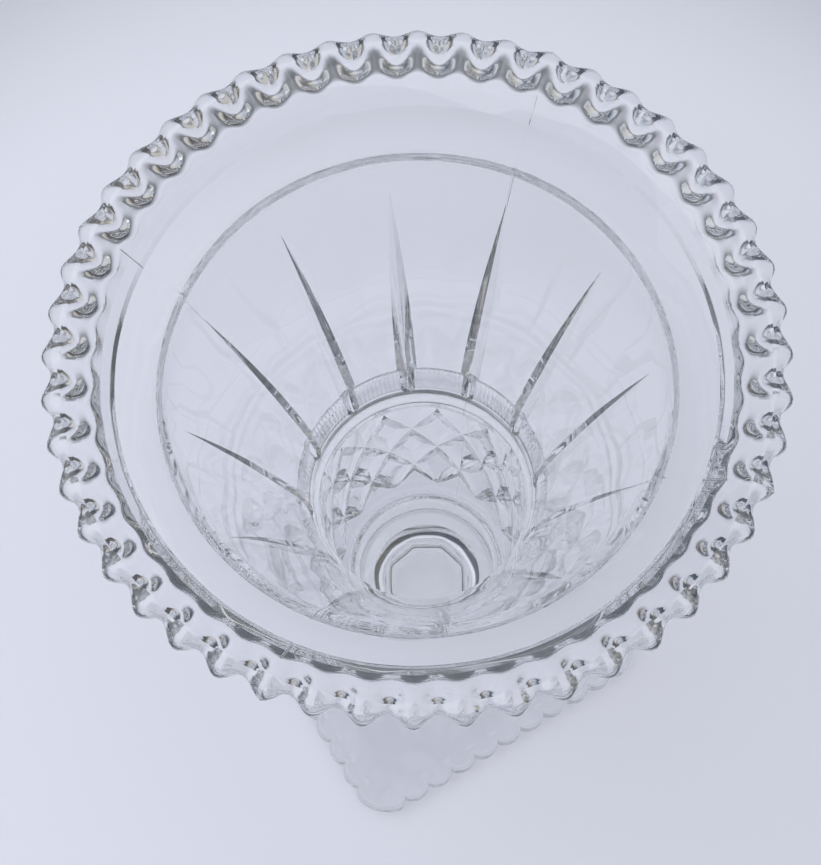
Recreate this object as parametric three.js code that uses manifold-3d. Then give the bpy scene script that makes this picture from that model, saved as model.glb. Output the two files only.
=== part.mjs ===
// Footed campana vase in clear pressed glass, in millimetres, standing on Z = 0 with its axis on Z.
// The square foot has its sides along X and Y. Four glass bodies stand on each other and were
// joined hot: the foot, the eight-sided stem, the round wafer and the bowl.
// The bowl is a twelve-fold pattern: twelve long mitre cuts down the bell, twelve by two crossing
// mitre cuts round the cup, and four scallops of the lip to each twelfth.
import * as THREE from "three";
import { mergeVertices } from "three/addons/utils/BufferGeometryUtils.js";
import Module from "manifold-3d";

// Foot: a square with scalloped sides, round corners and a low round boss for the stem.
const footSide = 141;
const footEdgeHeight = 9;
const footEdgeBevel = 2.4;
const footCornerRadius = 18;
const footScallopsPerSide = 9;
const footScallopDepth = 3;
const footScallopFullness = 0.75;
const footCrownRadius = 52;
const footCrownHeight = 5;
const footBossRadius = 22;
const footBossHeight = 4;

// Stem: eight flat sides at its foot, drawn in low down, spreading to a round top under the wafer.
const stemBaseFlats = 36.5;
const stemMiddleWidth = 27.5;
const stemTopWidth = 44;
const stemHeight = 32;

// Wafer: the round disc between the stem and the bowl.
const waferRadius = 29;
const waferThickness = 7;

// Cup: the lower part of the bowl, under the waist ring.
const cupBaseRadius = 33;
const cupBaseRound = 3;
const cupRadius = 44.2;
const cupHeight = 96;
const cupFullness = 2.4;
const cupWall = 6.2;
const cupFloor = 14;
const cupFloorRound = 4;

// Waist ring, and the upright band that the bell rises from.
const ringHeight = 6;
const ringSwell = 3;
const waistRadius = 44.2;
const collarHeight = 13;
const collarFootSwell = 3.5;
const collarSwell = 1.3;

// Bell: the cone above the waist ring, up to the shallow groove where it starts to flare.
const bellHeight = 115;
const bellTopRadius = 85.5;
const bellDraw = 0.18;
const bellWall = 6.4;
const grooveWidth = 4.5;
const grooveDepth = 0.9;

// Flare: the smooth band between the groove and the step to the lip.
const flareHeight = 7;
const flareWidth = 9.1;
const flareBow = 0.6;
const stepWidth = 1;
const stepRise = 2.3;

// Lip: its underside is fluted, with a flute under each scallop of the edge and a rib under each
// notch. Widths are inwards from the rim's edge, and drops are down from its top.
const lipHeight = 19;
const lipWidth = 16.4;
const fluteLength = 12;
const fluteDrop = 8.7;
const ribWaistWidth = 6.5;
const ribWaistDrop = 9.9;
const ribTipWidth = 3;
const ribTipDrop = 14.2;
const edgeDrop = 5.8;
const shoulderWidth = 1.4;
const shoulderDrop = 1.9;
const notchWidth = 4;
const rimFlatWidth = 0.6;
const mouthWidth = 5.4;
const mouthRise = 10;
const scallopsPerTwelfth = 4;

// Mitre cuts: depth, width across and the heights where they run out.
const bellCutDepth = 2.5;
const bellCutWidth = 8.4;
const bellCutTop = 18;
const bellCutFootDepth = 1.7;
const cupCutDepth = 3.8;
const cupCutWidth = 13.5;
const cupCutTop = 4;
const cupCutBottom = 20;
const cupCutTwelfths = 2;
const cupCutLean = 0.6;

// The bowl was joined to its foot with its pattern turned this far from the foot's corners.
const bowlTurn = -9;

const twelfths = 12;
const lathSides = 60;
const stemSides = 8;
const twelfthAngle = (2 * Math.PI) / twelfths;
const patternStart = Math.PI / 4 + THREE.MathUtils.degToRad(bowlTurn);

// Heights of the joints between the bodies, and the levels of the bowl above its own base.
const footHeight = footEdgeHeight + footCrownHeight + footBossHeight;
const stemFoot = footHeight;
const waferFoot = stemFoot + stemHeight;
const bowlFoot = waferFoot + waferThickness;
const bellFoot = cupHeight + ringHeight;
const bellTop = bellFoot + bellHeight;
const flareTop = bellTop + flareHeight;
const bowlHeight = flareTop + lipHeight;
const flareRadius = bellTopRadius + flareWidth;
const stepRadius = flareRadius + stepWidth;
const rimRadius = stepRadius + lipWidth;
const collarTop = bellFoot + collarHeight;

// Inside of the mouth: a cone from over the end of the flare out to the narrow flat on the rim.
const mouthRadius = rimRadius - mouthWidth;
const mouthSlope = (lipHeight - mouthRise) / (mouthRadius - flareRadius);

const wasm = await Module();
wasm.setup();

// Closed body from a geometry, with doubled vertices and empty triangles taken out.
function bodyOf(geometry) {
  const bare = geometry.index ? geometry.toNonIndexed() : geometry.clone();
  bare.deleteAttribute("normal");
  bare.deleteAttribute("uv");
  const merged = mergeVertices(bare, 1e-4);
  const corners = merged.index.array;
  const kept = [];
  for (let i = 0; i < corners.length; i += 3) {
    const [a, b, c] = [corners[i], corners[i + 1], corners[i + 2]];
    if (a !== b && b !== c && c !== a) kept.push(a, b, c);
  }
  const vertProperties = new Float32Array(merged.attributes.position.array);
  return new wasm.Manifold(new wasm.Mesh({ numProp: 3, vertProperties, triVerts: new Uint32Array(kept) }));
}

function indexed(position, index) {
  const geometry = new THREE.BufferGeometry();
  geometry.setAttribute("position", new THREE.Float32BufferAttribute(position, 3));
  geometry.setIndex(index);
  return geometry;
}

// Mesh with its own clear glass, placed at a height on the axis.
function glassMesh(name, body, height) {
  const mesh = body.getMesh();
  const stride = mesh.numProp;
  const position = new Float32Array(mesh.numVert * 3);
  for (let i = 0; i < mesh.numVert; i++) {
    position.set(mesh.vertProperties.subarray(i * stride, i * stride + 3), i * 3);
  }
  const geometry = new THREE.BufferGeometry();
  geometry.setAttribute("position", new THREE.BufferAttribute(position, 3));
  geometry.setIndex(new THREE.BufferAttribute(mesh.triVerts, 1));
  geometry.computeVertexNormals();
  const glass = new THREE.MeshStandardMaterial({ color: 0xdde1ee, roughness: 0.04, metalness: 0 });
  const made = new THREE.Mesh(geometry, glass);
  made.name = name;
  made.position.z = height;
  return made;
}

// Revolves a profile of (radius, height) points about Z, with its first side starting at the angle start.
function revolve(points, sides, start = 0) {
  const turned = new THREE.LatheGeometry(points, sides).rotateX(Math.PI / 2);
  return bodyOf(turned.rotateZ(Math.PI / 2 + start));
}

// Closed skin over a grid of points, where each row is a closed loop and the last row meets the
// first: a tube bent into a ring.
function ringSkin(rows) {
  const columns = rows[0].length;
  const position = [];
  const index = [];
  for (const row of rows) for (const p of row) position.push(p.x, p.y, p.z);
  for (let r = 0; r < rows.length; r++) {
    const next = (r + 1) % rows.length;
    for (let c = 0; c < columns; c++) {
      const d = (c + 1) % columns;
      const corner = [r * columns + c, r * columns + d, next * columns + d, next * columns + c];
      index.push(corner[0], corner[1], corner[2], corner[0], corner[2], corner[3]);
    }
  }
  return bodyOf(indexed(position, index));
}

// Outer radius of the cup at a height above the bowl's base, whose lower edge is rounded.
function cupRadiusAt(height) {
  const left = Math.max(0, 1 - height / cupHeight);
  const low = THREE.MathUtils.clamp(1 - height / cupBaseRound, 0, 1);
  const corner = cupBaseRound * (1 - Math.sqrt(1 - low ** 2));
  return cupBaseRadius + (cupRadius - cupBaseRadius) * (1 - left ** cupFullness) - corner;
}

// Radius of the cup's inside over its floor.
function cupInsideAt(height) {
  return cupRadiusAt(height) - cupWall;
}

// Outer radius of the bell at a height above the bowl's base.
function bellRadiusAt(height) {
  const share = (height - bellFoot) / bellHeight;
  return waistRadius + (bellTopRadius - waistRadius) * (share - bellDraw * share * (1 - share));
}

// Radius of the bell's inside, whose wall thins from the waist up.
function bellInsideAt(height) {
  const share = (height - bellFoot) / bellHeight;
  return bellRadiusAt(height) - THREE.MathUtils.lerp(cupWall, bellWall, share);
}

// Point of the mouth's inside at a radius.
function mouthPoint(radius) {
  return new THREE.Vector2(radius, bowlHeight + (radius - mouthRadius) * mouthSlope);
}

// Profile points of a wall whose radius is given by its height.
function wallPoints(radiusAt, from, to, steps) {
  const points = [];
  for (let i = 0; i <= steps; i++) {
    const height = from + ((to - from) * i) / steps;
    points.push(new THREE.Vector2(radiusAt(height), height));
  }
  return points;
}

// The bowl's outside from the middle of its base up to the end of the flare, closed over the top.
function bowlBlank() {
  const ringMiddle = cupHeight + ringHeight / 2;
  const points = [new THREE.Vector2(0, 0), ...wallPoints(cupRadiusAt, 0, cupBaseRound, 2)];
  points.push(...wallPoints(cupRadiusAt, cupBaseRound, cupHeight, 5).slice(1));
  points.push(new THREE.Vector2(cupRadius + ringSwell, ringMiddle - ringHeight / 4));
  points.push(new THREE.Vector2(cupRadius + ringSwell, ringMiddle + ringHeight / 4));
  points.push(new THREE.Vector2(waistRadius, bellFoot));
  points.push(new THREE.Vector2(waistRadius + collarFootSwell, bellFoot + ringHeight / 6));
  points.push(new THREE.Vector2(bellRadiusAt(collarTop) + collarSwell, collarTop));
  const grooveFoot = bellTop - grooveWidth;
  points.push(...wallPoints(bellRadiusAt, collarTop + collarSwell, grooveFoot, 4));
  const grooveRadius = bellRadiusAt(grooveFoot);
  points.push(new THREE.Vector2(grooveRadius - grooveDepth, grooveFoot + grooveWidth / 3));
  points.push(new THREE.Vector2(grooveRadius - grooveDepth, bellTop - grooveWidth / 6));
  const flareStart = new THREE.Vector2(grooveRadius, bellTop);
  const flareEnd = new THREE.Vector2(flareRadius, flareTop);
  const flareBend = flareStart.clone().lerp(flareEnd, 0.5).add(new THREE.Vector2(-flareBow, flareBow));
  points.push(...new THREE.QuadraticBezierCurve(flareStart, flareBend, flareEnd).getPoints(3));
  points.push(new THREE.Vector2(stepRadius, flareTop + stepRise));
  points.push(new THREE.Vector2(stepRadius, bowlHeight));
  points.push(new THREE.Vector2(0, bowlHeight));
  return revolve(points, lathSides, patternStart);
}

// One row of the lip: a ring of points that takes turns between the crests of the scallops and the
// notches. The points lie an eighth of a scallop either side of each of them, and each line gives
// the width inwards from the rim's edge and the drop from its top.
function lipRow(crest, notch) {
  const scallops = twelfths * scallopsPerTwelfth;
  const step = Math.PI / (2 * scallops);
  const row = [];
  for (let i = 0; i < 4 * scallops; i++) {
    const angle = patternStart + (i - 0.5) * step;
    const [width, drop] = i % 4 < 2 ? crest : notch;
    const r = rimRadius - width;
    row.push(new THREE.Vector3(r * Math.cos(angle), r * Math.sin(angle), bowlHeight - drop));
  }
  return row;
}

// The lip: out along the flutes and ribs from inside the step, round the scalloped edge, and over
// the rim's flat to a row inside the bowl's blank, where the mouth's cone cuts it.
function lipBand() {
  const inner = rimRadius - flareRadius;
  const stepDrop = lipHeight - stepRise;
  const flat = [mouthWidth - rimFlatWidth, 0];
  return ringSkin([
    lipRow([inner, stepDrop - stepWidth], [inner, stepDrop - stepWidth]),
    lipRow([fluteLength, fluteDrop], [fluteLength, fluteDrop]),
    lipRow([ribWaistWidth, fluteDrop], [ribWaistWidth, ribWaistDrop]),
    lipRow([shoulderWidth / 2, (fluteDrop + edgeDrop) / 2], [ribTipWidth, ribTipDrop]),
    lipRow([0, edgeDrop], [(ribTipWidth + notchWidth) / 2, (ribTipDrop + shoulderDrop) / 2]),
    lipRow([shoulderWidth, shoulderDrop], [notchWidth, shoulderDrop]),
    lipRow(flat, flat),
    lipRow([inner, 0], [inner, 0]),
  ]);
}

// The space inside the bowl: a cup with a flat floor, the bell and the flared mouth.
function bowlHollow() {
  const wallFoot = cupFloor + cupFloorRound;
  const floorCorner = new THREE.Vector2(cupInsideAt(wallFoot), cupFloor);
  const floorRound = new THREE.QuadraticBezierCurve(
    new THREE.Vector2(floorCorner.x - cupFloorRound, cupFloor),
    floorCorner,
    new THREE.Vector2(floorCorner.x, wallFoot),
  );
  const bellHead = bellTop - grooveWidth / 2;
  const mouthBend = new THREE.QuadraticBezierCurve(
    new THREE.Vector2(bellInsideAt(bellHead), bellHead),
    mouthPoint(flareRadius - bellWall),
    mouthPoint(flareRadius + bellWall / 2),
  );
  const past = rimRadius + mouthWidth;
  const points = [
    new THREE.Vector2(0, cupFloor),
    ...floorRound.getPoints(3),
    ...wallPoints(cupInsideAt, wallFoot, cupHeight, 4).slice(1),
    ...wallPoints(bellInsideAt, bellFoot, bellHead, 4),
    ...mouthBend.getPoints(4).slice(1),
    mouthPoint(past),
    new THREE.Vector2(0, mouthPoint(past).y),
  ];
  return revolve(points, lathSides, patternStart);
}

// A V-shaped cutter laid along a line on the wall. Each station gives the angle, radius and height
// of the line there and how deep the cut is. The cutter's back stands clear of the wall.
function mitreCutter(stations, leanAt, halfWidthPerDepth) {
  const back = 2;
  const at = stations.map(({ angle, radius, height }) => {
    return new THREE.Vector3(radius * Math.cos(angle), radius * Math.sin(angle), height);
  });
  const position = [];
  stations.forEach(({ angle, height, depth }, i) => {
    const normal = new THREE.Vector3(Math.cos(angle), Math.sin(angle), -leanAt(height)).normalize();
    const along = at[Math.min(at.length - 1, i + 1)].clone().sub(at[Math.max(0, i - 1)]);
    const across = along.cross(normal).setLength((depth + back) * halfWidthPerDepth);
    const high = at[i].clone().addScaledVector(normal, back);
    const low = at[i].clone().addScaledVector(normal, -depth);
    for (const p of [high.clone().add(across), high.clone().sub(across), low]) position.push(p.x, p.y, p.z);
  });
  const last = position.length / 3 - 3;
  const index = [0, 1, 2, last, last + 2, last + 1];
  for (let s = 0; s < last; s += 3) {
    for (let e = 0; e < 3; e++) {
      const f = (e + 1) % 3;
      index.push(s + e, s + 3 + e, s + 3 + f, s + e, s + 3 + f, s + f);
    }
  }
  return bodyOf(indexed(position, index));
}

// How far a wall leans out for each millimetre of height.
function leanOf(radiusAt) {
  const reach = 0.5;
  return (height) => (radiusAt(height + reach) - radiusAt(height - reach)) / (2 * reach);
}

// The long cut down the bell at one twelfth, from a fine point under the groove, over the collar
// and into the top of the ring.
function bellCutter(number) {
  const angle = patternStart + number * twelfthAngle;
  const top = bellTop - bellCutTop;
  const wallFoot = collarTop + collarSwell;
  const steps = 3;
  const stations = [
    { height: bellFoot - ringHeight / 6, swell: collarFootSwell, depth: bellCutFootDepth },
    { height: collarTop, swell: collarSwell, depth: bellCutFootDepth },
  ];
  for (let i = 0; i <= steps; i++) {
    const share = i / steps;
    const height = THREE.MathUtils.lerp(wallFoot, top, share);
    stations.push({ height, swell: 0, depth: bellCutDepth * (1 - share ** 2) });
  }
  for (const station of stations) {
    station.angle = angle;
    station.radius = bellRadiusAt(station.height) + station.swell;
  }
  return mitreCutter(stations, leanOf(bellRadiusAt), bellCutWidth / 2 / bellCutDepth);
}

// One slanting cut round the cup, from its point on a panel's middle line, to the left or the right.
// It is deepest above its middle and fades out towards its lower end.
function cupCutter(number, side) {
  const start = patternStart + (number + 0.5) * twelfthAngle;
  const from = cupHeight - cupCutTop;
  const steps = 4;
  const stations = [];
  for (let i = 0; i <= steps; i++) {
    const share = i / steps;
    const height = THREE.MathUtils.lerp(from, cupCutBottom, share);
    const angle = start + side * share * cupCutTwelfths * twelfthAngle;
    const depth = cupCutDepth * Math.sqrt(Math.sin(Math.PI * share ** cupCutLean));
    stations.push({ angle, radius: cupRadiusAt(height), height, depth });
  }
  return mitreCutter(stations, leanOf(cupRadiusAt), cupCutWidth / 2 / cupCutDepth);
}

function bowlBody() {
  let body = bowlBlank().add(lipBand()).subtract(bowlHollow());
  for (let i = 0; i < twelfths; i++) {
    body = body.subtract(bellCutter(i)).subtract(cupCutter(i, 1)).subtract(cupCutter(i, -1));
  }
  return body;
}

// Outline of the foot: each side is a row of round scallops that meet in points, and each corner is
// an arc.
function footOutline(inset) {
  const half = footSide / 2;
  const straight = half - footCornerRadius;
  const stepsPerScallop = 4;
  const stepsPerCorner = 7;
  const steps = footScallopsPerSide * stepsPerScallop;
  const oneSide = [];
  for (let i = 0; i < steps; i++) {
    const bulge = Math.sin(((i % stepsPerScallop) / stepsPerScallop) * Math.PI) ** footScallopFullness;
    const out = half - inset - footScallopDepth * (1 - bulge);
    oneSide.push(new THREE.Vector2(out, ((2 * i) / steps - 1) * straight));
  }
  for (let i = 0; i < stepsPerCorner; i++) {
    const a = ((i / stepsPerCorner) * Math.PI) / 2;
    const radius = footCornerRadius - inset - (i === 0 ? footScallopDepth : 0);
    oneSide.push(new THREE.Vector2(straight + radius * Math.cos(a), straight + radius * Math.sin(a)));
  }
  const outline = [];
  for (let side = 0; side < 4; side++) {
    for (const p of oneSide) outline.push(p.clone().rotateAround(new THREE.Vector2(), (side * Math.PI) / 2));
  }
  return outline;
}

// Solid between level outlines stacked from the bottom up, each with as many points as the first.
function loft(levels) {
  const count = levels[0].outline.length;
  const position = [];
  const index = [];
  for (const { outline, height } of levels) for (const p of outline) position.push(p.x, p.y, height);
  const bottom = position.length / 3;
  position.push(0, 0, levels[0].height);
  position.push(0, 0, levels[levels.length - 1].height);
  for (let i = 0; i < count; i++) {
    const j = (i + 1) % count;
    index.push(bottom, j, i);
    const top = (levels.length - 1) * count;
    index.push(bottom + 1, top + i, top + j);
    for (let s = 0; s < top; s += count) {
      index.push(s + i, s + j, s + count + j, s + i, s + count + j, s + count + i);
    }
  }
  return bodyOf(indexed(position, index));
}

function footBody() {
  const plate = loft([
    { outline: footOutline(0), height: 0 },
    { outline: footOutline(0), height: footEdgeHeight - footEdgeBevel },
    { outline: footOutline(footEdgeBevel), height: footEdgeHeight },
  ]);
  const crown = [
    new THREE.Vector2(0, footEdgeHeight / 2),
    new THREE.Vector2(footCrownRadius, footEdgeHeight / 2),
    new THREE.Vector2(footCrownRadius, footEdgeHeight),
  ];
  const rise = new THREE.QuadraticBezierCurve(
    new THREE.Vector2(footCrownRadius, footEdgeHeight),
    new THREE.Vector2(footBossRadius + footCrownHeight, footEdgeHeight),
    new THREE.Vector2(footBossRadius, footEdgeHeight + footCrownHeight),
  );
  crown.push(...rise.getPoints(6).slice(1));
  const bossRound = footBossHeight / 3;
  crown.push(new THREE.Vector2(footBossRadius, footHeight - bossRound));
  crown.push(new THREE.Vector2(footBossRadius - bossRound, footHeight));
  crown.push(new THREE.Vector2(0, footHeight));
  return plate.add(revolve(crown, lathSides));
}

// Section of the stem: eight flats a width apart, which give way to a circle as roundness nears 1.
function stemOutline(width, roundness) {
  const pointsPerSide = 4;
  const sideAngle = (2 * Math.PI) / stemSides;
  const outline = [];
  for (let i = 0; i < stemSides * pointsPerSide; i++) {
    const off = ((i % pointsPerSide) / pointsPerSide - 0.5) * sideAngle;
    const radius = THREE.MathUtils.lerp(width / 2 / Math.cos(off), width / 2, roundness);
    const angle = patternStart + (i / pointsPerSide) * sideAngle;
    outline.push(new THREE.Vector2(radius * Math.cos(angle), radius * Math.sin(angle)));
  }
  return outline;
}

function stemBody() {
  const bend = 2 * stemMiddleWidth - (stemBaseFlats + stemTopWidth) / 2;
  const side = new THREE.QuadraticBezierCurve(
    new THREE.Vector2(stemBaseFlats, 0),
    new THREE.Vector2(bend, stemHeight / 2),
    new THREE.Vector2(stemTopWidth, stemHeight),
  );
  const levels = side.getPoints(6).map((p) => {
    return { outline: stemOutline(p.x, (p.y / stemHeight) ** 2), height: p.y };
  });
  return loft(levels);
}

// The wafer's edge is a half round.
function waferBody() {
  const round = waferThickness / 2;
  const flat = waferRadius - round;
  const steps = 4;
  const points = [new THREE.Vector2(0, 0)];
  for (let i = 0; i <= steps; i++) {
    const a = Math.PI * (i / steps - 0.5);
    points.push(new THREE.Vector2(flat + round * Math.cos(a), round + round * Math.sin(a)));
  }
  points.push(new THREE.Vector2(0, waferThickness));
  return revolve(points, lathSides, patternStart);
}

const vase = new THREE.Group();
vase.add(glassMesh("foot", footBody(), 0));
vase.add(glassMesh("stem", stemBody(), stemFoot));
vase.add(glassMesh("wafer", waferBody(), waferFoot));
vase.add(glassMesh("bowl", bowlBody(), bowlFoot));

export default vase;
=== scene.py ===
# Blender scene of a footed campana vase in clear pressed glass, in metres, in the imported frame:
# Z up, the foot's underside at Z = 0 and the foot's sides along X and Y.
import math

import bpy
from mathutils import Matrix, Vector


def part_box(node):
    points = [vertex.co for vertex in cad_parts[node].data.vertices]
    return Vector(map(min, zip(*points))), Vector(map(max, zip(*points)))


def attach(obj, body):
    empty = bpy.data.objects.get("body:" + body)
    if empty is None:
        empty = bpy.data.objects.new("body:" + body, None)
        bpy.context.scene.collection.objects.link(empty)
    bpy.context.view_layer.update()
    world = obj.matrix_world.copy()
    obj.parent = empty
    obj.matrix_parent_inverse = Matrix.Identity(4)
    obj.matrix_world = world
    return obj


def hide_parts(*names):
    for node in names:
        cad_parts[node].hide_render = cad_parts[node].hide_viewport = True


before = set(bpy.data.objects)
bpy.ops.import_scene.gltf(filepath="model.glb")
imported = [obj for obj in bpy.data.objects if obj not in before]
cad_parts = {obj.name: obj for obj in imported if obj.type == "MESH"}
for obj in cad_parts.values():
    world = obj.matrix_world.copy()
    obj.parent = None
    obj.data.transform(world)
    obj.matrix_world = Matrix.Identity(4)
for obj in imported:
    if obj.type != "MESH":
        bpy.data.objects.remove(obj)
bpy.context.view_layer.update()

# Levels and widths that the frame gives.
FOOT_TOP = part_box("foot")[1].z
FOOT_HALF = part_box("foot")[1].x
STEM_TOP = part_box("stem")[1].z
WAFER_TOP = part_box("wafer")[1].z
WAFER_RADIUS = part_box("wafer")[1].x
WAFER_FLAT = WAFER_RADIUS - (WAFER_TOP - STEM_TOP) / 2
RIM_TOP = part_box("bowl")[1].z

# Foot
FOOT_EDGE = 0.009
FOOT_EDGE_ROUND = 0.0024
FOOT_UNDER_ROUND = 0.0008
FOOT_CORNER = 0.018
FOOT_SCALLOPS = 9
FOOT_SCALLOP_DEPTH = 0.003
FOOT_SCALLOP_FULLNESS = 0.75
FOOT_FLUTE_LENGTH = 0.0055
FOOT_FLUTE_DIP = 0.8
FOOT_CROWN_RADIUS = 0.052
FOOT_CROWN_RISE = 0.005
FOOT_BOSS_RADIUS = 0.022
FOOT_BOSS_ROUND = 0.002

# Stem: eight flats at its foot that give way to a round top.
STEM_BASE = 0.0365
STEM_MIDDLE = 0.0275
STEM_CROWN = 0.044
STEM_ROUND_FROM = 0.8
STEM_CORNER = 0.0012

# Cup
CUP_BASE = 0.033
CUP_BASE_ROUND = 0.003
CUP_RADIUS = 0.0442
CUP_TOP = WAFER_TOP + 0.096
CUP_FULLNESS = 2.4
CUP_WALL = 0.0062
CUP_FLOOR = WAFER_TOP + 0.014
CUP_FLOOR_ROUND = 0.004

# Waist ring and collar
RING_HEIGHT = 0.006
RING_SWELL = 0.003
WAIST_RADIUS = 0.0442
WAIST_TOP = CUP_TOP + RING_HEIGHT
COLLAR_TOP = WAIST_TOP + 0.013
COLLAR_FOOT_SWELL = 0.0035
COLLAR_SWELL = 0.0013
COLLAR_ROUND = 0.0008

# Bell
BELL_TOP = WAIST_TOP + 0.115
BELL_RADIUS = 0.0855
BELL_DRAW = 0.18
BELL_WALL = 0.0064
GROOVE_WIDTH = 0.0066
GROOVE_DEPTH = 0.0014
GROOVE_EDGE_SHARE = 0.6

# Flare, and the step between it and the lip
FLARE_TOP = BELL_TOP + 0.0070
FLARE_RADIUS = 0.0946
FLARE_BOW = 0.0006
STEP_WIDTH = 0.0010
STEP_RISE = 0.0023

# Lip: (inwards from the rim's edge, down from its top) points of its outside, along the flute under
# a scallop and along the rib under the notch between two. Both run from the step to the rim's top.
RIM_RADIUS = 0.1126
SCALLOPS = 48
CREST_LINE = [
    (0.0153, 0.0140), (0.0144, 0.0124), (0.0135, 0.0108), (0.0126, 0.0093), (0.0114, 0.0088),
    (0.0090, 0.0087), (0.0066, 0.0086), (0.0042, 0.0085), (0.0020, 0.0083), (0.0006, 0.0074),
    (0.0000, 0.0054), (0.0005, 0.0032), (0.0026, 0.0010), (0.0060, 0.0001),
]
NOTCH_LINE = [
    (0.0153, 0.0140), (0.0148, 0.0130), (0.0142, 0.0118), (0.0135, 0.0107), (0.0114, 0.0108),
    (0.0090, 0.0118), (0.0074, 0.0124), (0.0065, 0.0118), (0.0057, 0.0098), (0.0050, 0.0072),
    (0.0043, 0.0044), (0.0036, 0.0022), (0.0044, 0.0005), (0.0061, 0.0000),
]

# Inside of the mouth: a cone from over the flare's end out to the flat of the rim's top
MOUTH_FOOT = FLARE_TOP + 0.0100
MOUTH_FOOT_RADIUS = FLARE_RADIUS
MOUTH_TOP_RADIUS = RIM_RADIUS - NOTCH_LINE[-1][0]
MOUTH_SLOPE = (RIM_TOP - MOUTH_FOOT) / (MOUTH_TOP_RADIUS - MOUTH_FOOT_RADIUS)
MOUTH_ROUND = 0.0035
MOUTH_CONE_MARGIN = 0.003
MOUTH_BEND_REACH = 0.005
BELL_HEAD_DROP = 0.003

# Soft edge between the flat of the rim's top and the mouth's cone: (inwards, down) from the flat's end
RIM_EDGE_START = (0.0004, 0.00005)
RIM_EDGE_MIDDLE = (0.0010, 0.0003)

# Mitre cuts. The cup's span two twelfths, and are deepest above their middle.
CUTS = 12
BELL_CUT_DEPTH = 0.0025
BELL_CUT_WIDTH = 0.0084
BELL_CUT_FOOT_DEPTH = 0.0017
BELL_CUT_TOP = BELL_TOP - 0.018
CUP_CUT_DEPTH = 0.0044
CUP_CUT_WIDTH = 0.0135
CUP_CUT_TOP = CUP_TOP - 0.004
CUP_CUT_BOTTOM = WAFER_TOP + 0.020
CUP_CUT_SPAN = 2
CUP_CUT_SKEW = 0.6
CUT_LIFT = 0.0012

# Seams of the four-part mould, on every third long cut
SEAM_HEIGHT = 0.00022
SEAM_HALF_ANGLE = math.radians(0.28)

# Fine upright ribs round the collar's outside, one to every third column of the bowl
COLLAR_RIBS = 160
COLLAR_RIB_HEIGHT = 0.00008

# The bowl's pattern starts 9 degrees short of the foot's corner.
TWELFTH = math.tau / CUTS
PATTERN_START = math.radians(45 - 9)

# Clear glass: colour, least and most roughness where polished and where smudged, ripple heights, and
# what is left of lamplight behind one surface
CLEAR = (0.975, 0.982, 0.99)
POLISHED = (0.0, 0.03)
SMUDGED = (0.02, 0.12)
FOOT_RIPPLE = 0.0012
STEM_RIPPLE = 0.0006
BOWL_RIPPLE = 0.0008
LAMPLIGHT_THROUGH = (0.89, 0.89, 0.895, 1)

# Light bounces, enough for the many walls of glass in one line of sight
BOUNCES = 40
SEE_THROUGH_BOUNCES = 16

# The photograph's camera, and its right-hand side as a level direction
CAMERA_DOWN = math.radians(69.66)
CAMERA_ROLL = math.radians(-3.69)
CAMERA_TURN = math.radians(-27.7)
CAMERA_DISTANCE = 0.616
CAMERA_FOCUS = (-0.003, 0, RIM_TOP - 0.07)
CAMERA_LENS = 77.15
CAMERA_SENSOR = 36
RIGHT_SIDE = (0.885, -0.465, 0)


def lerp(a, b, share):
    return a + (b - a) * share


def cup_radius(z):
    left = max(0.0, (CUP_TOP - z) / (CUP_TOP - WAFER_TOP))
    low = max(0.0, 1 - (z - WAFER_TOP) / CUP_BASE_ROUND)
    corner = CUP_BASE_ROUND * (1 - math.sqrt(1 - min(1.0, low) ** 2))
    return CUP_BASE + (CUP_RADIUS - CUP_BASE) * (1 - left**CUP_FULLNESS) - corner


def bell_share(z):
    return (z - WAIST_TOP) / (BELL_TOP - WAIST_TOP)


def bell_radius(z):
    share = bell_share(z)
    return WAIST_RADIUS + (BELL_RADIUS - WAIST_RADIUS) * (share - BELL_DRAW * share * (1 - share))


def bell_inside(z):
    return bell_radius(z) - lerp(CUP_WALL, BELL_WALL, bell_share(z))


def bend(start, middle, end, steps):
    """Points of a quadratic curve, its start left out."""
    points = []
    for i in range(1, steps + 1):
        t = i / steps
        left = (1 - t) ** 2
        between = 2 * t * (1 - t)
        right = t**2
        points.append(tuple(left * a + between * b + right * c for a, b, c in zip(start, middle, end)))
    return points


def new_piece(name, vertices, faces):
    mesh = bpy.data.meshes.new(name)
    mesh.from_pydata(vertices, [], faces)
    mesh.update()
    piece = bpy.data.objects.new(name, mesh)
    bpy.context.scene.collection.objects.link(piece)
    return piece


def skin(name, rows):
    """Closed surface through rows of points. The first and last row are one point each."""
    vertices = [rows[0][0]]
    faces = []
    count = len(rows[1])
    for row in rows[1:-1]:
        vertices.extend(row)
    vertices.append(rows[-1][0])
    last = len(vertices) - 1
    for j in range(count):
        k = (j + 1) % count
        faces.append((0, 1 + k, 1 + j))
        faces.append((last - count + j, last - count + k, last))
        for r in range(len(rows) - 3):
            a = 1 + r * count
            faces.append((a + j, a + k, a + count + k, a + count + j))
    return new_piece(name, vertices, faces)


def ring(angles, radius, z):
    """One level circle of points. The radius is a number, or a function of the angle."""
    row = []
    for angle in angles:
        r = radius(angle) if callable(radius) else radius
        row.append((r * math.cos(angle), r * math.sin(angle), z))
    return row


def bowl_angles():
    """Even columns round the bowl, with a few more at each mould seam."""
    per_scallop = 10
    count = SCALLOPS * per_scallop
    angles = [PATTERN_START + math.tau * i / count for i in range(count)]
    for quarter in range(4):
        seam = PATTERN_START + quarter * math.tau / 4
        for side in (-1, -0.4, 0.4, 1):
            angles.append(seam + side * SEAM_HALF_ANGLE)
    return sorted(angles)


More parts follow.
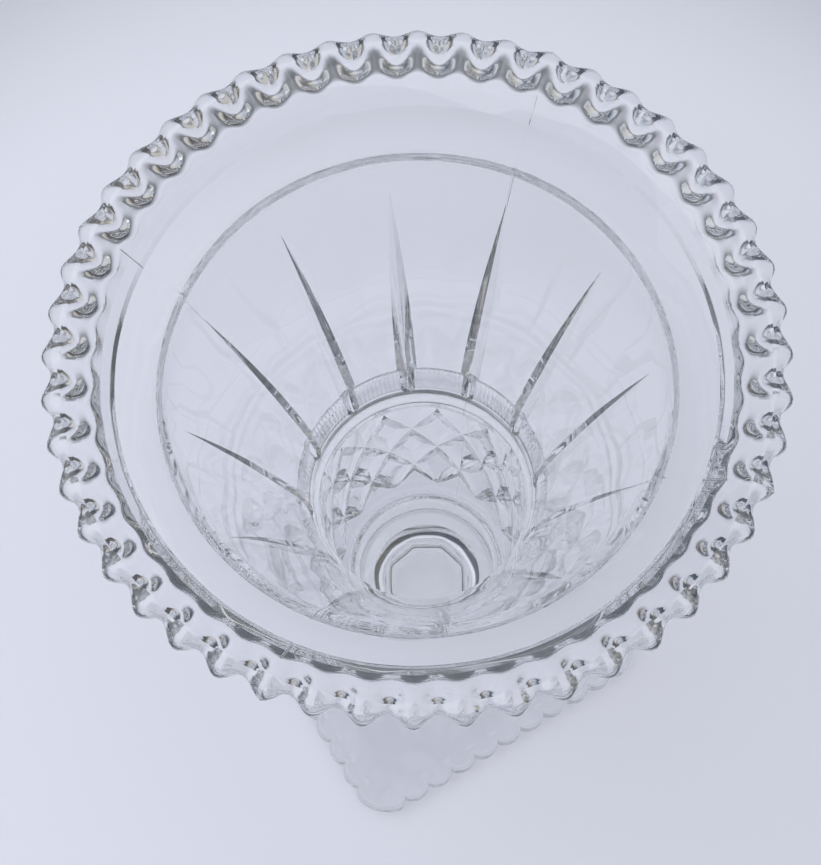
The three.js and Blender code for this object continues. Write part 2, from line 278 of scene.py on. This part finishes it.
def seam_ridge(angle):
    """Height of the mould seam at an angle."""
    quarter = math.tau / 4
    off = abs((angle - PATTERN_START + quarter / 2) % quarter - quarter / 2)
    return SEAM_HEIGHT * max(0.0, 1 - (off / SEAM_HALF_ANGLE) ** 2)


def collar_rib(angle, z):
    """Height of the collar's fine ribs at an angle and level."""
    if not WAIST_TOP < z < COLLAR_TOP:
        return 0.0
    return COLLAR_RIB_HEIGHT * math.cos(COLLAR_RIBS * (angle - PATTERN_START))


def cup_outside():
    """(radius, height) points of the cup, from its base to its top."""
    points = []
    round_steps = 6
    for i in range(round_steps):
        z = WAFER_TOP + CUP_BASE_ROUND * (i / round_steps) ** 2
        points.append((cup_radius(z), z))
    cup_steps = 26
    for i in range(cup_steps + 1):
        z = lerp(WAFER_TOP + CUP_BASE_ROUND, CUP_TOP, i / cup_steps)
        points.append((cup_radius(z), z))
    return points


def waist_ring():
    """(radius, height) points of the round ring between the cup and the collar."""
    points = []
    middle = (CUP_TOP + WAIST_TOP) / 2
    steps = 12
    for i in range(1, steps):
        a = math.pi * (i / steps - 0.5)
        points.append((CUP_RADIUS + RING_SWELL * math.cos(a), middle + RING_HEIGHT / 2 * math.sin(a)))
    return points


def collar_outside():
    """(radius, height) points of the collar, up to the foot of the bell's wall."""
    points = []
    collar_foot = (WAIST_RADIUS + COLLAR_FOOT_SWELL, WAIST_TOP + COLLAR_ROUND)
    collar_edge = (bell_radius(COLLAR_TOP) + COLLAR_SWELL, COLLAR_TOP - COLLAR_ROUND)
    points.append((collar_foot[0] - COLLAR_ROUND, WAIST_TOP))
    points += bend(points[-1], (collar_foot[0], WAIST_TOP), collar_foot, 3)
    collar_steps = 4
    for i in range(1, collar_steps + 1):
        share = i / collar_steps
        points.append(tuple(lerp(a, b, share) for a, b in zip(collar_foot, collar_edge)))
    collar_end = (bell_radius(COLLAR_TOP + COLLAR_SWELL), COLLAR_TOP + COLLAR_SWELL)
    points += bend(collar_edge, (collar_edge[0], COLLAR_TOP + COLLAR_ROUND), collar_end, 6)
    return points


def bell_outside():
    """(radius, height) points of the bell's wall, its groove, the flare and the step under the lip."""
    points = []
    groove_foot = BELL_TOP - GROOVE_WIDTH
    bell_steps = 20
    for i in range(1, bell_steps + 1):
        z = lerp(COLLAR_TOP + COLLAR_SWELL, groove_foot, i / bell_steps)
        points.append((bell_radius(z), z))
    groove_steps = 6
    for i in range(groove_steps + 1):
        a = math.pi * i / groove_steps
        inset = GROOVE_DEPTH * lerp(GROOVE_EDGE_SHARE, 1, math.sin(a))
        z = groove_foot + GROOVE_WIDTH * (1 + i) / (groove_steps + 2)
        points.append((bell_radius(groove_foot) - inset, z))
    flare_foot = (bell_radius(groove_foot), BELL_TOP)
    flare_end = (FLARE_RADIUS, FLARE_TOP)
    bow = (-FLARE_BOW, FLARE_BOW)
    middle = tuple((a + b) / 2 + shift for a, b, shift in zip(flare_foot, flare_end, bow))
    points.append(flare_foot)
    points += bend(flare_foot, middle, flare_end, 8)
    for share in (0.1, 0.4, 0.7, 1):
        points.append((FLARE_RADIUS + STEP_WIDTH * share, FLARE_TOP + STEP_RISE * share))
    return points


def outside_profile():
    """(radius, height) points of the bowl's outside, from its base to the step under the lip."""
    return cup_outside() + waist_ring() + collar_outside() + bell_outside()


def scallop_wave(angle):
    """1 on a scallop's crest and -1 in its notch."""
    return math.cos(SCALLOPS * (angle - PATTERN_START))


def mouth_height(radius):
    return RIM_TOP + (radius - MOUTH_TOP_RADIUS) * MOUTH_SLOPE


def smooth_line(points, steps):
    """Points of a curve that passes through all the given ones, steps of them to each stretch."""
    line = [points[0]]
    last = len(points) - 1
    for s in range(last):
        before = points[max(0, s - 1)]
        after = points[min(last, s + 2)]
        for i in range(1, steps + 1):
            t = i / steps
            point = []
            for p, a, b, q in zip(before, points[s], points[s + 1], after):
                start = (b - p) / 2 * t * (1 - t) ** 2
                end = (q - a) / 2 * t * t * (1 - t)
                point.append(a + (b - a) * t * t * (3 - 2 * t) + start - end)
            line.append(tuple(point))
    return line


def lip_rows(angles):
    """The lip: from the ridge over its fluted underside and round the scalloped edge."""
    steps = 3
    rows = []
    for crest, notch in zip(smooth_line(CREST_LINE, steps), smooth_line(NOTCH_LINE, steps)):
        row = []
        for angle in angles:
            share = (1 + scallop_wave(angle)) / 2
            r = RIM_RADIUS - lerp(notch[0], crest[0], share) + seam_ridge(angle)
            z = RIM_TOP - lerp(notch[1], crest[1], share)
            row.append((r * math.cos(angle), r * math.sin(angle), z))
        rows.append(row)
    return rows


def mouth_inside():
    """(radius, height) points from the rim's top down the mouth's cone and round into the bell."""
    rim_start = (MOUTH_TOP_RADIUS - RIM_EDGE_START[0], RIM_TOP - RIM_EDGE_START[1])
    rim_middle = (MOUTH_TOP_RADIUS - RIM_EDGE_MIDDLE[0], RIM_TOP - RIM_EDGE_MIDDLE[1])
    mouth_head = (MOUTH_TOP_RADIUS - MOUTH_ROUND, mouth_height(MOUTH_TOP_RADIUS - MOUTH_ROUND))
    points = bend(rim_start, rim_middle, mouth_head, 5)
    steps = 4
    for i in range(1, steps + 1):
        r = lerp(mouth_head[0], MOUTH_FOOT_RADIUS + MOUTH_CONE_MARGIN, i / steps)
        points.append((r, mouth_height(r)))
    bend_radius = MOUTH_FOOT_RADIUS - MOUTH_BEND_REACH
    bell_head = (bell_inside(BELL_TOP - BELL_HEAD_DROP), BELL_TOP - BELL_HEAD_DROP)
    points += bend(points[-1], (bend_radius, mouth_height(bend_radius)), bell_head, 12)
    return points


def inside_profile():
    """(radius, height) points of the bowl's inside, from the lip down to its floor."""
    points = mouth_inside()
    bell_head = points[-1][1]
    bell_steps = 17
    for i in range(1, bell_steps + 1):
        z = lerp(bell_head, WAIST_TOP, i / bell_steps)
        points.append((bell_inside(z), z))
    wall_steps = 16
    wall_foot = CUP_FLOOR + CUP_FLOOR_ROUND
    for i in range(wall_steps + 1):
        z = lerp(CUP_TOP, wall_foot, i / wall_steps)
        points.append((cup_radius(z) - CUP_WALL, z))
    floor_radius = points[-1][0] - CUP_FLOOR_ROUND
    round_steps = 8
    for i in range(1, round_steps + 1):
        a = math.pi / 2 * i / round_steps
        out = CUP_FLOOR_ROUND * math.cos(a)
        points.append((floor_radius + out, wall_foot - CUP_FLOOR_ROUND * math.sin(a)))
    return points


def cutter(name, lines, width_per_depth):
    """V-shaped cutters laid along lines on the wall. Each station is (angle, radius, z, slope, depth)."""
    vertices = []
    faces = []
    for stations in lines:
        at = [Vector((r * math.cos(a), r * math.sin(a), z)) for a, r, z, slope, depth in stations]
        first = len(vertices)
        for i, (angle, radius, z, slope, depth) in enumerate(stations):
            normal = Vector((math.cos(angle), math.sin(angle), -slope)).normalized()
            along = at[min(len(at) - 1, i + 1)] - at[max(0, i - 1)]
            across = along.cross(normal).normalized() * (depth + CUT_LIFT) * width_per_depth / 2
            high = at[i] + normal * CUT_LIFT
            vertices += [high + across, high - across, at[i] - normal * depth]
        last = len(vertices) - 3
        faces.append((first, first + 1, first + 2))
        faces.append((last, last + 2, last + 1))
        for s in range(first, last, 3):
            for e in range(3):
                f = (e + 1) % 3
                faces.append((s + e, s + 3 + e, s + 3 + f, s + f))
    return new_piece(name, vertices, faces)


def lean(radius_at, z):
    """How fast a wall's radius grows with height."""
    reach = 0.0005
    return (radius_at(z + reach) - radius_at(z - reach)) / (2 * reach)


def bell_cut_lines():
    """Long upright cuts, from the waist ring over the collar to their points under the groove."""
    wall_foot = COLLAR_TOP + COLLAR_SWELL
    levels = [(WAIST_TOP - RING_HEIGHT / 6, COLLAR_FOOT_SWELL, BELL_CUT_FOOT_DEPTH)]
    levels.append((COLLAR_TOP, COLLAR_SWELL, BELL_CUT_FOOT_DEPTH))
    steps = 20
    for i in range(steps + 1):
        share = i / steps
        levels.append((lerp(wall_foot, BELL_CUT_TOP, share), 0.0, BELL_CUT_DEPTH * (1 - share**2)))
    lines = []
    for n in range(CUTS):
        angle = PATTERN_START + n * TWELFTH
        stations = []
        for z, swell, depth in levels:
            stations.append((angle, bell_radius(z) + swell, z, lean(bell_radius, z), depth))
        lines.append(stations)
    return lines


def cup_cut_lines(side):
    """Cuts that slant to one side, each from its point on a panel's middle line down to the foot."""
    steps = 28
    lines = []
    for n in range(CUTS):
        start = PATTERN_START + (n + 0.5) * TWELFTH
        stations = []
        for i in range(steps + 1):
            share = i / steps
            z = lerp(CUP_CUT_TOP, CUP_CUT_BOTTOM, share)
            angle = start + side * share * CUP_CUT_SPAN * TWELFTH
            depth = CUP_CUT_DEPTH * math.sqrt(math.sin(math.pi * share**CUP_CUT_SKEW))
            stations.append((angle, cup_radius(z), z, lean(cup_radius, z), depth))
        lines.append(stations)
    return lines


def cut(piece, tool):
    """Cuts the tool out of the piece and removes the tool."""
    step = piece.modifiers.new("cut", "BOOLEAN")
    step.operation = "DIFFERENCE"
    step.solver = "MANIFOLD"
    step.object = tool
    ready = piece.evaluated_get(bpy.context.evaluated_depsgraph_get())
    mesh = bpy.data.meshes.new_from_object(ready)
    piece.modifiers.remove(step)
    mesh.materials.clear()
    piece.data = mesh
    bpy.data.objects.remove(tool)


def bowl_piece():
    angles = bowl_angles()
    rows = [[(0, 0, WAFER_TOP)], ring(angles, WAFER_FLAT, WAFER_TOP)]
    for radius, z in outside_profile():
        rows.append(ring(angles, lambda a, r=radius, level=z: r + seam_ridge(a) + collar_rib(a, level), z))
    rows += lip_rows(angles)
    for radius, z in inside_profile():
        rows.append(ring(angles, radius, z))
    rows.append([(0, 0, CUP_FLOOR)])
    piece = skin("bowl_glass", rows)
    cut(piece, cutter("bell_cuts", bell_cut_lines(), BELL_CUT_WIDTH / BELL_CUT_DEPTH))
    cut(piece, cutter("cup_cuts_left", cup_cut_lines(1), CUP_CUT_WIDTH / CUP_CUT_DEPTH))
    cut(piece, cutter("cup_cuts_right", cup_cut_lines(-1), CUP_CUT_WIDTH / CUP_CUT_DEPTH))
    return piece


def octagon(flats, roundness=0.0):
    """Radius of the stem's section at an angle: eight flats with rounded corners, or nearer a circle."""
    half_flat = math.pi / 8
    centre = (flats / 2 - STEM_CORNER) / math.cos(half_flat)
    turn = math.atan2(STEM_CORNER * math.sin(half_flat), centre + STEM_CORNER * math.cos(half_flat))

    def radius(angle):
        off = (angle - PATTERN_START) % (2 * half_flat) - half_flat
        from_corner = half_flat - abs(off)
        if from_corner > turn:
            section = flats / 2 / math.cos(off)
        else:
            sideways = centre * math.sin(from_corner)
            section = centre * math.cos(from_corner) + math.sqrt(STEM_CORNER**2 - sideways**2)
        return lerp(section, flats / 2, roundness)

    return radius


def stem_piece():
    count = 8 * 24
    angles = [PATTERN_START + math.tau * i / count for i in range(count)]
    middle = 2 * STEM_MIDDLE - (STEM_BASE + STEM_CROWN) / 2
    side = [(STEM_BASE, FOOT_TOP)]
    side += bend(side[0], (middle, (FOOT_TOP + STEM_TOP) / 2), (STEM_CROWN, STEM_TOP), 24)
    rows = [[(0, 0, FOOT_TOP)]]
    for width, z in side:
        roundness = min(1.0, (z - FOOT_TOP) / (STEM_TOP - FOOT_TOP) / STEM_ROUND_FROM) ** 2
        rows.append(ring(angles, octagon(width, roundness), z))
    rows.append([(0, 0, STEM_TOP)])
    return skin("stem_glass", rows)


def wafer_piece():
    count = 8 * 32
    angles = [PATTERN_START + math.tau * i / count for i in range(count)]
    half = (WAFER_TOP - STEM_TOP) / 2
    rows = [[(0, 0, STEM_TOP)], ring(angles, STEM_CROWN / 2, STEM_TOP)]
    steps = 12
    for i in range(steps + 1):
        a = math.pi * (i / steps - 0.5)
        radius = WAFER_RADIUS - half + half * math.cos(a)
        rows.append(ring(angles, radius, STEM_TOP + half + half * math.sin(a)))
    rows.append([(0, 0, WAFER_TOP)])
    return skin("wafer_glass", rows)


def foot_outline(inset, scallop_depth):
    """Points of the foot's outline, drawn in by an inset: scalloped sides between round corners."""
    straight = FOOT_HALF - FOOT_CORNER
    per_scallop = 12
    per_corner = 20
    dip_steps = 2.5
    steps = FOOT_SCALLOPS * per_scallop
    side = []
    for i in range(steps):
        bulge = math.sin((i % per_scallop) / per_scallop * math.pi) ** FOOT_SCALLOP_FULLNESS
        side.append((FOOT_HALF - inset - scallop_depth * (1 - bulge), (2 * i / steps - 1) * straight))
    for i in range(per_corner):
        a = i / per_corner * math.pi / 2
        dip = scallop_depth * max(0.0, 1 - min(i, per_corner - i) / dip_steps)
        radius = FOOT_CORNER - inset - dip
        side.append((straight + radius * math.cos(a), straight + radius * math.sin(a)))
    outline = []
    for quarter in range(4):
        c = (1, 0, -1, 0)[quarter]
        s = (0, 1, 0, -1)[quarter]
        outline += [(x * c - y * s, x * s + y * c) for x, y in side]
    return outline


def foot_piece():
    def level(inset, depth, z):
        return [(x, y, z) for x, y in foot_outline(inset, depth)]

    outer = foot_outline(0, FOOT_SCALLOP_DEPTH)
    plain = foot_outline(0, 0)
    angles = [math.atan2(y, x) for x, y in plain]
    rows = [[(0, 0, 0)], level(FOOT_UNDER_ROUND, FOOT_SCALLOP_DEPTH, 0)]
    rows.append(level(0, FOOT_SCALLOP_DEPTH, FOOT_UNDER_ROUND))
    steps = 6
    for i in range(steps + 1):
        a = i / steps * math.pi / 2
        inset = FOOT_EDGE_ROUND * (1 - math.cos(a))
        z = FOOT_EDGE - FOOT_EDGE_ROUND * (1 - math.sin(a))
        rows.append(level(inset, FOOT_SCALLOP_DEPTH, z))
    flute_steps = 5
    for i in range(1, flute_steps + 1):
        share = i / flute_steps
        inset = FOOT_EDGE_ROUND + FOOT_FLUTE_LENGTH * share
        row = []
        low = foot_outline(inset, FOOT_SCALLOP_DEPTH * (1 - share))
        for (x, y), (a, b), (c, d) in zip(low, outer, plain):
            dip = math.hypot(c - a, d - b) * (1 - share) * share * FOOT_FLUTE_DIP
            row.append((x, y, FOOT_EDGE - dip))
        rows.append(row)
    crown_foot = (FOOT_CROWN_RADIUS, FOOT_EDGE)
    crown = [crown_foot]
    boss_foot = (FOOT_BOSS_RADIUS, FOOT_EDGE + FOOT_CROWN_RISE)
    crown += bend(crown_foot, (FOOT_BOSS_RADIUS + FOOT_CROWN_RISE, FOOT_EDGE), boss_foot, 18)
    boss_edge = (FOOT_BOSS_RADIUS, FOOT_TOP - FOOT_BOSS_ROUND)
    crown.append(boss_edge)
    crown += bend(boss_edge, (FOOT_BOSS_RADIUS, FOOT_TOP), (FOOT_BOSS_RADIUS - FOOT_BOSS_ROUND, FOOT_TOP), 6)
    rows += [ring(angles, radius, z) for radius, z in crown]
    rows.append(ring(angles, octagon(STEM_BASE), FOOT_TOP))
    rows.append([(0, 0, FOOT_TOP)])
    return skin("foot_glass", rows)


def node(tree, kind, **values):
    """A new node. Each value is a setting of the node where it has one, or else of its input."""
    made = tree.nodes.new(kind)
    for name, value in values.items():
        if hasattr(made, name):
            setattr(made, name, value)
        else:
            made.inputs[name.replace("_", " ").title()].default_value = value
    return made


def colour_ramp(tree, stops):
    """Colour ramp of (position, colour) stops, from the lowest to the highest."""
    ramp = node(tree, "ShaderNodeValToRGB")
    elements = ramp.color_ramp.elements
    for element, (position, colour) in zip(elements, (stops[0], stops[-1])):
        element.position = position
        element.color = (*colour, 1)
    for position, colour in stops[1:-1]:
        elements.new(position).color = (*colour, 1)
    return ramp


def uneven_tint(tree, place, shader):
    """A faint tint that is a little deeper in clouds."""
    darkest = 0.985
    cloud = node(tree, "ShaderNodeTexNoise", Scale=14.0, Detail=2.0)
    tree.links.new(place.outputs["Object"], cloud.inputs["Vector"])
    colours = colour_ramp(tree, [(0.0, tuple(c * darkest for c in CLEAR)), (1.0, CLEAR)])
    tree.links.new(cloud.outputs["Fac"], colours.inputs["Fac"])
    tree.links.new(colours.outputs["Color"], shader.inputs["Base Color"])


def smudges(tree, place, shader, roughness):
    """Smudges that dull the gloss in spots."""
    smudge = node(tree, "ShaderNodeTexNoise", Scale=55.0, Detail=4.0)
    tree.links.new(place.outputs["Object"], smudge.inputs["Vector"])
    spread = node(tree, "ShaderNodeMapRange")
    spread.inputs["From Min"].default_value = 0.35
    spread.inputs["From Max"].default_value = 0.75
    spread.inputs["To Min"].default_value = roughness[0]
    spread.inputs["To Max"].default_value = roughness[1]
    tree.links.new(smudge.outputs["Fac"], spread.inputs["Value"])
    tree.links.new(spread.outputs["Result"], shader.inputs["Roughness"])


def fire_polish(tree, place, shader, ripple):
    """The soft ripple that fire polishing leaves, drawn out upwards."""
    stretch = node(tree, "ShaderNodeMapping")
    stretch.inputs["Scale"].default_value = (1, 1, 0.35)
    tree.links.new(place.outputs["Object"], stretch.inputs["Vector"])
    wave = node(tree, "ShaderNodeTexNoise", Scale=38.0, Detail=1.0)
    tree.links.new(stretch.outputs["Vector"], wave.inputs["Vector"])
    bump = node(tree, "ShaderNodeBump", Strength=1.0, Distance=ripple)
    tree.links.new(wave.outputs["Fac"], bump.inputs["Height"])
    tree.links.new(bump.outputs["Normal"], shader.inputs["Normal"])


def faint_shadow(tree, shader):
    """Lets lamplight pass through the glass, so that it leaves only a faint shadow."""
    path = node(tree, "ShaderNodeLightPath")
    through = node(tree, "ShaderNodeBsdfTransparent", Color=LAMPLIGHT_THROUGH)
    either = node(tree, "ShaderNodeMixShader")
    tree.links.new(path.outputs["Is Shadow Ray"], either.inputs["Fac"])
    tree.links.new(shader.outputs["BSDF"], either.inputs[1])
    tree.links.new(through.outputs["BSDF"], either.inputs[2])
    tree.links.new(either.outputs["Shader"], tree.nodes["Material Output"].inputs["Surface"])


def glass(name, roughness, ripple):
    """Clear pressed glass, with the least and most roughness and the height of its ripple."""
    material = bpy.data.materials.new(name)
    material.use_nodes = True
    tree = material.node_tree
    shader = tree.nodes["Principled BSDF"]
    shader.inputs["IOR"].default_value = 1.51
    shader.inputs["Transmission Weight"].default_value = 1.0
    place = node(tree, "ShaderNodeTexCoord")
    uneven_tint(tree, place, shader)
    smudges(tree, place, shader, roughness)
    fire_polish(tree, place, shader, ripple)
    faint_shadow(tree, shader)
    return material


def fused_glass():
    """The hot-joined faces between two bodies, where light passes straight on."""
    material = bpy.data.materials.new("fused_glass")
    material.use_nodes = True
    tree = material.node_tree
    tree.nodes.remove(tree.nodes["Principled BSDF"])
    through = node(tree, "ShaderNodeBsdfTransparent")
    tree.links.new(through.outputs["BSDF"], tree.nodes["Material Output"].inputs["Surface"])
    return material


def finish_piece(piece, material, fused, joints, node_name):
    """Smooths a piece, gives it its glass and marks its faces on the joints as fused."""
    piece.data.materials.append(material)
    piece.data.materials.append(fused)
    sharp = math.radians(24)
    level = 0.00002
    for face in piece.data.polygons:
        face.use_smooth = True
        middle = face.center
        radius = math.hypot(middle.x, middle.y)
        angle = math.atan2(middle.y, middle.x)
        for z, edge in joints:
            reach = edge(angle) if callable(edge) else edge
            if abs(middle.z - z) < level and radius < reach:
                face.material_index = 1
    piece.data.set_sharp_from_angle(angle=sharp)
    weigh = piece.modifiers.new("weigh", "WEIGHTED_NORMAL")
    weigh.keep_sharp = True
    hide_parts(node_name)
    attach(piece, "root")


def build_vase():
    fused = fused_glass()
    stem_foot = (FOOT_TOP, octagon(STEM_BASE))
    stem_top = (STEM_TOP, STEM_CROWN / 2)
    bowl_foot = (WAFER_TOP, WAFER_FLAT)
    foot = foot_piece()
    finish_piece(foot, glass("foot_glass", SMUDGED, FOOT_RIPPLE), fused, [stem_foot], "foot")
    stem = stem_piece()
    finish_piece(stem, glass("stem_glass", POLISHED, STEM_RIPPLE), fused, [stem_foot, stem_top], "stem")
    wafer = wafer_piece()
    finish_piece(wafer, glass("wafer_glass", POLISHED, STEM_RIPPLE), fused, [stem_top, bowl_foot], "wafer")
    bowl = bowl_piece()
    finish_piece(bowl, glass("bowl_glass", POLISHED, BOWL_RIPPLE), fused, [bowl_foot], "bowl")


def build_floor():
    """Plain floor just under the foot, with a painted pool of light: pale near the vase and darker far from
    it.
    """
    half = 1.6
    gap = 0.0002
    corners = [(x * half, y * half, -gap) for x, y in ((-1, -1), (1, -1), (1, 1), (-1, 1))]
    floor = new_piece("floor", corners, [(0, 1, 2, 3)])
    material = bpy.data.materials.new("floor")
    material.use_nodes = True
    tree = material.node_tree
    shader = tree.nodes["Principled BSDF"]
    place = node(tree, "ShaderNodeTexCoord")
    away = node(tree, "ShaderNodeVectorMath", operation="LENGTH")
    tree.links.new(place.outputs["Object"], away.inputs[0])
    # Painted pool of light: the colour fades from pale near the vase to dark further out.
    colours = colour_ramp(tree, [(0.28, (0.77, 0.78, 0.87)), (0.58, (0.16, 0.17, 0.19))])
    colours.color_ramp.interpolation = "EASE"
    tree.links.new(away.outputs["Value"], colours.inputs["Fac"])
    tree.links.new(colours.outputs["Color"], shader.inputs["Base Color"])
    shader.inputs["Roughness"].default_value = 0.9
    shader.inputs["Specular IOR Level"].default_value = 0.1
    floor.data.materials.append(material)


def build_light():
    """Soft studio: a world that is bright overhead, cool on the left and warm on the right, and lamps."""
    world = bpy.data.worlds.new("studio")
    bpy.context.scene.world = world
    world.use_nodes = True
    tree = world.node_tree
    back = tree.nodes["Background"]
    place = node(tree, "ShaderNodeTexCoord")
    split = node(tree, "ShaderNodeSeparateXYZ")
    tree.links.new(place.outputs["Generated"], split.inputs["Vector"])
    upwards = [
        (0.0, (0.11, 0.12, 0.135)),
        (0.3, (0.075, 0.08, 0.095)),
        (0.5, (0.13, 0.135, 0.15)),
        (0.7, (0.55, 0.55, 0.57)),
        (1.0, (0.75, 0.75, 0.77)),
    ]
    ramp = colour_ramp(tree, upwards)
    tree.links.new(split.outputs["Z"], ramp.inputs["Fac"])
    sideways = node(tree, "ShaderNodeVectorMath", operation="DOT_PRODUCT")
    sideways.inputs[1].default_value = RIGHT_SIDE
    tree.links.new(place.outputs["Generated"], sideways.inputs[0])
    across = node(tree, "ShaderNodeMapRange")
    across.inputs["From Min"].default_value = -1.0
    tree.links.new(sideways.outputs["Value"], across.inputs["Value"])
    tints = colour_ramp(tree, [(0.0, (0.70, 0.82, 1.0)), (1.0, (1.0, 0.93, 0.80))])
    tree.links.new(across.outputs["Result"], tints.inputs["Fac"])
    tinted = node(tree, "ShaderNodeVectorMath", operation="MULTIPLY")
    tree.links.new(ramp.outputs["Color"], tinted.inputs[0])
    tree.links.new(tints.outputs["Color"], tinted.inputs[1])
    tree.links.new(tinted.outputs["Vector"], back.inputs["Color"])
    softbox("top_softbox", place=(-0.3, 0.0, 1.5), size=2.4, power=18)
    softbox("back_softbox", place=(-0.8, 0.9, 1.2), size=1.8, power=6)


def softbox(name, place, size, power):
    """Square area light that faces the vase and isn't seen through its glass."""
    target = Vector((0, 0, 0.1))
    lamp = bpy.data.lights.new(name, "AREA")
    lamp.shape = "SQUARE"
    lamp.size = size
    lamp.energy = power
    light = bpy.data.objects.new(name, lamp)
    light.location = place
    light.visible_transmission = False
    light.rotation_euler = (target - light.location).to_track_quat("-Z", "Y").to_euler()
    bpy.context.scene.collection.objects.link(light)


def build_camera():
    """The photograph's camera: it looks steeply down into the mouth, over a corner of the foot."""
    around = Matrix.Rotation(CAMERA_TURN, 3, "Z")
    view = Vector((0, math.cos(CAMERA_DOWN), -math.sin(CAMERA_DOWN)))
    right = Vector((1, 0, 0))
    up = Vector((0, math.sin(CAMERA_DOWN), math.cos(CAMERA_DOWN)))
    turned_right = right * math.cos(CAMERA_ROLL) + up * math.sin(CAMERA_ROLL)
    turned_up = up * math.cos(CAMERA_ROLL) - right * math.sin(CAMERA_ROLL)
    axes = Matrix((around @ turned_right, around @ turned_up, around @ -view)).transposed()
    place = around @ (Vector(CAMERA_FOCUS) - view * CAMERA_DISTANCE)
    data = bpy.data.cameras.new("photo_camera")
    data.sensor_width = CAMERA_SENSOR
    data.lens = CAMERA_LENS
    camera = bpy.data.objects.new("photo_camera", data)
    camera.matrix_world = Matrix.Translation(place) @ axes.to_4x4()
    bpy.context.scene.collection.objects.link(camera)
    bpy.context.scene.camera = camera


build_camera()
build_vase()
build_floor()
build_light()

scene = bpy.context.scene
scene.view_settings.view_transform = "Standard"
scene.cycles.max_bounces = BOUNCES
scene.cycles.glossy_bounces = BOUNCES
scene.cycles.transmission_bounces = BOUNCES
scene.cycles.transparent_max_bounces = SEE_THROUGH_BOUNCES
